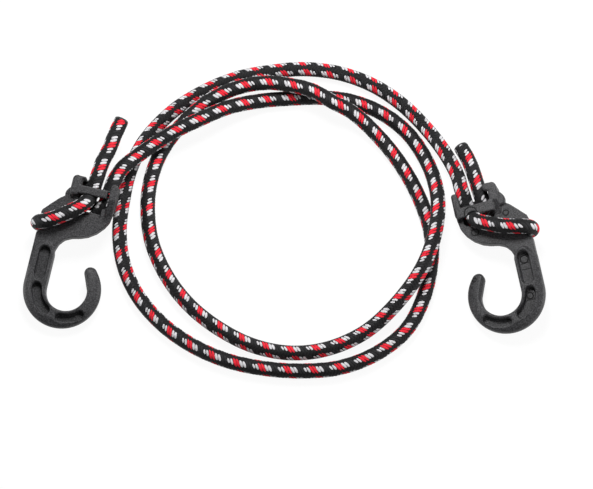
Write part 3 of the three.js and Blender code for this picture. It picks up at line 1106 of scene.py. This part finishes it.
    def _bend(self, bm: bmesh.types.BMesh) -> None:
        """Lofts the J: a round top on the web, a straight shank, a bend and a round-tipped arm.

        Args:
            bm: the mesh that it goes into.
        """
        bu, bv, br = self.bend
        su, sv, sr = self.seat
        tu, tv, tr = self.tip
        stations: list[tuple[Vector, Vector, float, float]] = []
        top = (su - sr - bu + br) / 2
        rises = [(rise, 1 - math.sqrt(1 - rise * rise)) for rise in self.TOP_RISES]
        rows = [(self.shank_top + top * rise, top * drawn) for rise, drawn in rises]
        rows += [(v, 0.0) for v in np.linspace(self.shank_top, bv, 9)]
        for v, draw in rows:
            inner, out = Vector((su - sr - draw, v, 0)), Vector((bu - br + draw, v, 0))
            stations.append((inner, out, self.half, 0.0))
        steps, seat, thick = self.BEND_STEPS, self.SEAT_STEPS, self.THICK_STEPS
        tip_side = Vector((tu - tr * self.TIP_SIDE[0], tv - tr * self.TIP_SIDE[1], 0))
        for k in range(1, steps + 1):
            angle = math.radians(180 + (180 + self.tip_angle) * k / steps)
            out = Vector((bu + br * math.cos(angle), bv + br * math.sin(angle), 0))
            turn = math.radians(180 + (180 + self.seat_end) * min(1.0, k / seat))
            inner = Vector((su + sr * math.cos(turn), sv + sr * math.sin(turn), 0))
            if k > seat:
                inner = inner.lerp(tip_side, (k - seat) / (steps - seat))
            ridge = min(1.0, max(0.0, (k / steps - self.RIDGE_FROM) / self.RIDGE_OVER))
            thin = self.half - self.tip_drop * max(0.0, (k - thick) / (steps - thick))
            stations.append((inner, out, thin, ridge))
        inner, out, thin, _ = stations[-1]
        middle, ahead = (inner + out) / 2, Vector(self.TIP_AHEAD)
        for k in range(1, self.TIP_STEPS + 1):
            turn = k / self.TIP_CLOSED * math.pi / 2
            keep, push = math.cos(turn), ahead * tr * math.sin(turn)
            drop = thin * (self.TIP_KEPT + (1 - self.TIP_KEPT) * keep)
            ends = middle.lerp(inner, keep) + push, middle.lerp(out, keep) + push
            stations.append((*ends, drop, 1.0))
        self._skin(bm, [self._section(bm, *station) for station in stations])

    def _section(
        self, bm: bmesh.types.BMesh, inner: Vector, out: Vector, half: float, ridge: float
    ) -> list[bmesh.types.BMEdge]:
        """One ring of the J.

        Args:
            bm: the mesh that it goes into.
            inner: its point at the throat.
            out: its point on the outside.
            half: half its thickness.
            ridge: 0 for the shank's flat section, 1 for the arm's ridged one.

        Returns:
            The ring's edges.
        """
        pairs = zip(self.SHANK_SECTION, self.ARM_SECTION)
        upper = [(a + (c - a) * ridge, b + (d - b) * ridge) for (a, b), (c, d) in pairs]
        ring = upper + [(e, -h) for e, h in upper[::-1]]
        return self._ring(bm, [inner.lerp(out, e) + Vector((0, 0, h * half)) for e, h in ring])

    @staticmethod
    def _ring(bm: bmesh.types.BMesh, points: Sequence[Vector]) -> list[bmesh.types.BMEdge]:
        """A closed ring of edges through points."""
        verts = [bm.verts.new(point) for point in points]
        return [bm.edges.new((a, b)) for a, b in zip(verts, verts[1:] + verts[:1])]

    @staticmethod
    def _skin(bm: bmesh.types.BMesh, rings: Sequence[list[bmesh.types.BMEdge]]) -> None:
        """Bridges rings in their order and closes both ends.

        Args:
            bm: the mesh that they are in.
            rings: the edges of each ring.
        """
        for first, second in zip(rings, rings[1:]):
            bmesh.ops.bridge_loops(bm, edges=first + second)
        bmesh.ops.holes_fill(bm, edges=rings[0] + rings[-1], sides=0)
        bmesh.ops.recalc_face_normals(bm, faces=bm.faces)

    @staticmethod
    def _plate(
        bm: bmesh.types.BMesh, outline: Sequence[Flat], low: float, high: float, rim: float = 0.0
    ) -> list[bmesh.types.BMVert]:
        """Extrudes an outline from one height to another, with rounded rims if asked.

        Args:
            bm: the mesh that it goes into.
            outline: its corners, in order.
            low: height of its lower face.
            high: height of its upper face.
            rim: how far its rims are rounded.

        Returns:
            Its points.
        """
        own = bmesh.new()
        face = own.faces.new([own.verts.new((u, v, low)) for u, v in outline])
        grown = bmesh.ops.extrude_face_region(own, geom=[face])["geom"]
        raised = [item for item in grown if isinstance(item, bmesh.types.BMVert)]
        bmesh.ops.translate(own, verts=raised, vec=(0, 0, high - low))
        bmesh.ops.recalc_face_normals(own, faces=own.faces)
        if rim:
            rims = [e for e in own.edges if abs(e.verts[0].co.z - e.verts[1].co.z) < 1e-6]
            bmesh.ops.bevel(
                own, geom=rims, offset=rim, affect="EDGES", segments=3, profile=0.5, material=-1
            )
        start = len(bm.verts)
        mesh = bpy.data.meshes.new("plate")
        own.to_mesh(mesh)
        own.free()
        bm.from_mesh(mesh)
        bpy.data.meshes.remove(mesh)
        bm.verts.ensure_lookup_table()
        return bm.verts[start:]

    def _web(self, bm: bmesh.types.BMesh) -> None:
        """The plate between the shank and the head, with its notch, its slot and the slot's ledges.

        Args:
            bm: the mesh that it goes into.
        """
        u, v, radius = self.notch
        arc = [self._polar(u, v, 78 - 13 * k, radius) for k in range(13)]
        self._plate(bm, [*self.WEB_EDGE, *arc, *self.WEB_BACK], -self.web_half, self.web_half)
        self._plate(bm, self._box(8.2, 12, 39.5, 49), 0.6, self.web_half)
        self._plate(bm, self._box(-6.2, 9, 39.5, 42.6), -1.6, 1.4)
        self._plate(bm, self._box(-6.2, -3.4, 44, 56), -1.6, 1.4)

    def _head(self, bm: bmesh.types.BMesh) -> None:
        """Two thick sides, a bar on each face at its own height, a lip, two slopes and a lobe.

        Args:
            bm: the mesh that it goes into.
        """
        thick, gap = self.head_half, self.tunnel
        thick_side = self._rounded(-10.4, -5.4, 49.3, 60.4, 2.6)
        post_foot = self._rounded(10.9, 14.9, 45.4, 59.2, 1.5)
        bar_a, bar_b = self._box(-8, 14, 50.8, 55.3), self._box(-7, 14, 44.6, 50.4)
        self._plate(bm, thick_side, -thick, thick, 1.0)
        self._plate(bm, post_foot, -self.post_low, 0.5, 0.5)
        self._plate(bm, self.POST, 0.0, thick, 0.5)
        self._plate(bm, bar_a, gap, thick, 0.4)
        self._plate(bm, bar_b, -thick, -gap, 0.4)
        self._plate(bm, self.LIP, -thick, -gap, 0.4)
        self._plate(bm, self._box(-7, -3.4, 59.2, 60.3), -thick, 5.6, 0.3)
        # The next two are profiles in v and w, which are laid across u.
        hollow = [(51, -3), (51, -thick), (49.6, -6.6), (48.2, -5.4), (46.8, -4.5), (45.2, -3.8)]
        for vert in self._plate(bm, [*hollow, (43.4, -3.3), (43.4, -3)], -9.8, -4.6):
            vert.co = Vector((vert.co.z, vert.co.x, vert.co.y))
        slope = [(37, 2.9), (39, 3.05), (41, 3.4), (43, 4), (45, 4.8), (47, 5.6), (49, 6.3)]
        slope += [(51, 6.7), (53, thick), (55, thick), (55, 0), (37, 0)]
        for vert in self._plate(bm, slope, 10.9, 14.8):
            web_edge = 14.8 - 0.46 * max(0.0, 43 - vert.co.x)
            vert.co = Vector((min(vert.co.z, web_edge), vert.co.x, vert.co.y))
        self._plate(bm, self.LOBE, -4.8, -0.6, 0.6)
        bmesh.ops.recalc_face_normals(bm, faces=bm.faces)

    @staticmethod
    def _box(u0: float, u1: float, v0: float, v1: float) -> list[Flat]:
        """A rectangle's outline."""
        return [(u0, v0), (u1, v0), (u1, v1), (u0, v1)]

    @staticmethod
    def _polar(u: float, v: float, angle: float, reach: float) -> Flat:
        """A point at an angle in degrees and a reach from a centre."""
        turn = math.radians(angle)
        return u + reach * math.cos(turn), v + reach * math.sin(turn)

    @staticmethod
    def _rounded(u0: float, u1: float, v0: float, v1: float, r: float) -> list[Flat]:
        """A rectangle's outline with round corners.

        Args:
            u0: its least u.
            u1: its greatest u.
            v0: its least v.
            v1: its greatest v.
            r: its corners' radius, at most half its width.

        Returns:
            The outline.
        """
        r = min(r, (u1 - u0) / 2 - 0.01)
        right, left, high, low = u1 - r, u0 + r, v1 - r, v0 + r
        corners = ((right, high, 0), (left, high, 90), (left, low, 180), (right, low, 270))
        turns = [math.radians(a) for a in range(0, 91, 15)]
        return [
            (u + r * math.cos(math.radians(base) + a), v + r * math.sin(math.radians(base) + a))
            for u, v, base in corners
            for a in turns
        ]

    def _sunk(self) -> bpy.types.Object:
        """What is sunk into the hook: pockets with soft rims on both faces, and the slit by bar A.

        Returns:
            The shape to cut it with.
        """
        bm = bmesh.new()
        middle = ((self.bend[0] + self.seat[0]) / 2, (self.bend[1] + self.seat[1]) / 2)
        u0, u1, v0, v1, corner = self.SHANK_POCKET
        curves = ((middle, *self.BEND_POCKET), (self.seat, *self.ARM_POCKET))
        # One cut from a pocket's floor to just under the face, and a wider one above its rim.
        hole = (0.0, self.pocket_floor, self.half - 0.3)
        rim = (self.pocket_rim, self.half - self.rim_depth, 2 * self.half)
        for face in (1.0, -1.0):
            for grow, low, high in (hole, rim):
                ends = sorted((face * low, face * high))
                sides = u0 - grow, u1 + grow, v0 - grow, v1 + grow
                self._plate(bm, self._rounded(*sides, corner + grow), *ends)
                for about, radius, start, end, wide in curves:
                    outline = self._curved(about, radius, start, end, wide + 2 * grow)
                    self._plate(bm, outline, *ends)
        self._plate(bm, self._box(9.7, 10.9, 49.7, 54.5), 3.3, 7.8)
        return placed_object("sunk", bm, None)

    @classmethod
    def _curved(
        cls, middle: Sequence[float], radius: float, start: float, end: float, wide: float
    ) -> list[Flat]:
        """The outline of a pocket along an arc, with round ends.

        Args:
            middle: the arc's middle.
            radius: its radius.
            start: where it starts, in degrees.
            end: where it ends.
            wide: how wide the pocket is.

        Returns:
            The outline.
        """
        u, v, reach = middle[0], middle[1], wide / 2
        first, last = cls._polar(u, v, start, radius), cls._polar(u, v, end, radius)
        outline = [cls._polar(u, v, a, radius + reach) for a in np.linspace(start, end, 13)]
        outline += [cls._polar(*last, end + 30 * k, reach) for k in range(1, 6)]
        outline += [cls._polar(u, v, a, radius - reach) for a in np.linspace(end, start, 13)]
        outline += [cls._polar(*first, start + 180 + 30 * k, reach) for k in range(1, 6)]
        return outline

    def _cord_way(self, side: Side) -> bpy.types.Object:
        """The way that the cord takes through the hook.

        Args:
            side: which hook.

        Returns:
            A tube to cut the hook with.
        """
        into = LIES[side].matrix().inverted()
        ends = self.left_channel
        if side is Side.RIGHT:
            ends = tuple(self.line.total - back for back in self.right_channel)
        lengths = np.linspace(*ends, self.CHANNEL_RINGS)
        columns = (self.line.samples, self.line.tangents, self.line.normals)
        turns = np.linspace(0, 2 * math.pi, self.CHANNEL_SIDES + 1)[:-1]
        reach = self.channel * MM
        bm = bmesh.new()
        rings: list[list[bmesh.types.BMEdge]] = []
        for centre, tangent, normal in zip(*(self.line.at(lengths, column) for column in columns)):
            across = Vector(normal).normalized()
            aside = Vector(tangent).normalized().cross(across)
            outs = [(across * math.cos(a) + aside * math.sin(a)) * reach for a in turns]
            rings.append(self._ring(bm, [into @ (Vector(centre) + out) for out in outs]))
        self._skin(bm, rings)
        return placed_object("cord_way", bm, None)


# The studio


@dataclass(frozen=True)
class Studio:
    """White floor, soft lamps, and a camera high in front of the cord.

    Each lamp has a name, a place, a power in watts and the side of its square face.
    """

    target: Point = (0.00647, 0.00889, 0.0)
    elevation: float = 70.0
    distance: float = 1.6
    lens: float = 179.9
    sensor: float = 36.0
    sky: float = 0.1
    floor_half: float = 4.0
    lamps: tuple[tuple[str, Point, float, float], ...] = (
        ("overhead", (0.0, 0.25, 0.48), 3.1, 0.2),
        ("left", (-1.0, 0.1, 0.16), 6.0, 0.4),
        ("right", (1.0, 0.1, 0.16), 7.0, 0.4),
        ("front", (0.34, -0.3, 0.26), 0.45, 0.2),
    )

    def camera(self) -> None:
        """Makes the camera at the photograph's viewing angle."""
        data = bpy.data.cameras.new("camera")
        data.lens, data.sensor_width, data.sensor_fit = self.lens, self.sensor, "HORIZONTAL"
        eye = bpy.data.objects.new("camera", data)
        angle = math.radians(self.elevation)
        back = Vector((0, -math.cos(angle), math.sin(angle)))
        eye.location = Vector(self.target) + back * self.distance
        eye.rotation_euler = Euler((math.radians(90 - self.elevation), 0, 0))
        bpy.context.scene.collection.objects.link(eye)
        bpy.context.scene.camera = eye

    def lamp(self, name: str, at: Point, power: float, size: float) -> None:
        """Makes one soft lamp that looks at the middle of the cord.

        Args:
            name: the lamp's name.
            at: its place.
            power: its power in watts.
            size: the side of its square face.
        """
        data = bpy.data.lights.new(name, "AREA")
        data.energy, data.size = power, size
        lamp = bpy.data.objects.new(name, data)
        lamp.location = at
        lamp.rotation_euler = (Vector(self.target) - Vector(at)).to_track_quat("-Z", "Y").to_euler()
        bpy.context.scene.collection.objects.link(lamp)

    def light(self) -> None:
        """Makes the lamps, the white world and the floor."""
        for lamp in self.lamps:
            self.lamp(*lamp)
        world = bpy.data.worlds.new("studio")
        world.use_nodes = True
        background = world.node_tree.nodes["Background"].inputs
        background["Color"].default_value = (1, 1, 1, 1)
        background["Strength"].default_value = self.sky
        scene = bpy.context.scene
        scene.world = world
        scene.view_settings.view_transform = "Standard"
        bm = bmesh.new()
        bmesh.ops.create_grid(bm, x_segments=1, y_segments=1, size=self.floor_half)
        floor = placed_object("floor", bm, FloorFinish().make())


def sheath_and_core(stem: str) -> tuple[str, str]:
    """The two solids of one stretch of cord."""
    return f"{stem}_sheath", f"{stem}_core"


def stretches(line: Line, route: Route) -> list[Stretch]:
    """Cuts the cord where its bodies meet.

    Args:
        line: the cord's line.
        route: the points that it runs through.

    Returns:
        The stretches, from the left end to the right one.
    """
    left_mouth = line.nearest(route.wrap(Side.LEFT)[-1])
    right_mouth = line.nearest(route.wrap(Side.RIGHT)[-1])
    laid = route.laid()
    left_base = line.nearest(laid[route.left_root])
    right_base = line.nearest(laid[route.right_root])
    # The cuts lie under the sealed ends, inside the hooks' mouths, and to both sides of the place
    # where a lead leaves the loops.
    seal, into, bend, hold = 1.2 * MM, 10 * MM, 18 * MM, 32 * MM
    left_bend, right_bend = left_base - bend, right_base + bend
    marks = [
        seal, left_mouth - into, left_bend, left_base + hold,
        right_base - hold, right_bend, right_mouth + into, line.total - seal,
    ]
    spans = list(zip(marks, marks[1:]))
    left_tail, left_run, left_turn, loops, right_turn, right_run, right_tail = spans
    left_lead, right_lead = sheath_and_core("left_lead"), sheath_and_core("right_lead")
    left_wrap, right_wrap = sheath_and_core("left_wrap"), sheath_and_core("right_wrap")
    return [
        Stretch(
            "left_tail_braid", *left_tail, ("left_end",), left_wrap,
            reverse=True, far_end=FarEnd.CUT,
        ),
        Stretch(
            "left_lead_braid", *left_run, ("left_lead", "left_end"), left_lead,
            fixed=left_bend, moved=left_mouth,
        ),
        Stretch(
            "left_turn_braid", *left_turn, ("loops", "left_lead"), left_lead,
            fixed=left_base, moved=left_bend,
        ),
        Stretch("loops_braid", *loops, ("loops",), sheath_and_core("loops"), rest=Rest.COILED),
        Stretch(
            "right_turn_braid", *right_turn, ("loops", "right_lead"), right_lead,
            fixed=right_base, moved=right_bend,
        ),
        Stretch(
            "right_lead_braid", *right_run, ("right_lead", "right_end"), right_lead,
            fixed=right_bend, moved=right_mouth,
        ),
        Stretch("right_tail_braid", *right_tail, ("right_end",), right_wrap, far_end=FarEnd.CUT),
    ]


def main() -> None:
    """Builds the cord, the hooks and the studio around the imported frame."""
    logging.basicConfig(level=logging.INFO, format="%(name)s: %(message)s")
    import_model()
    studio = Studio()
    studio.camera()
    route = Route()
    line = Line(route.points())
    LOG.info("cord line is %.4f m long", line.total)
    cord = Cord(line, route.diameter, BraidLay())
    braid, plastic, fused = BraidFinish().make(), MouldedFinish().make(), FusedFinish().make()
    for side, at, inwards in ((Side.LEFT, 0.0, 1.0), (Side.RIGHT, line.total, -1.0)):
        name = f"{side.value}_fused_end"
        cap = SealedEnd(line).build(name, at, inwards, fused)
        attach(cap, f"{side.value}_end")
        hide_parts(f"{side.value}_sealed_end")
        LOG.info("%s is made", name)
    for stretch in stretches(line, route):
        tube = cord.build(stretch, braid)
        cord.carry(stretch, tube)
        cord.declare(stretch)
        LOG.info("%s is %.1f mm long", stretch.name, (stretch.end - stretch.start) / MM)
    for side in Side:
        hook = Hook(line).build(f"{side.value}_moulding", side, plastic)
        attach(hook, f"{side.value}_end")
        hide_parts(f"{side.value}_hook")
        LOG.info("%s has %d faces", hook.name, len(hook.data.polygons))
    studio.light()


if __name__ == "__main__":
    main()
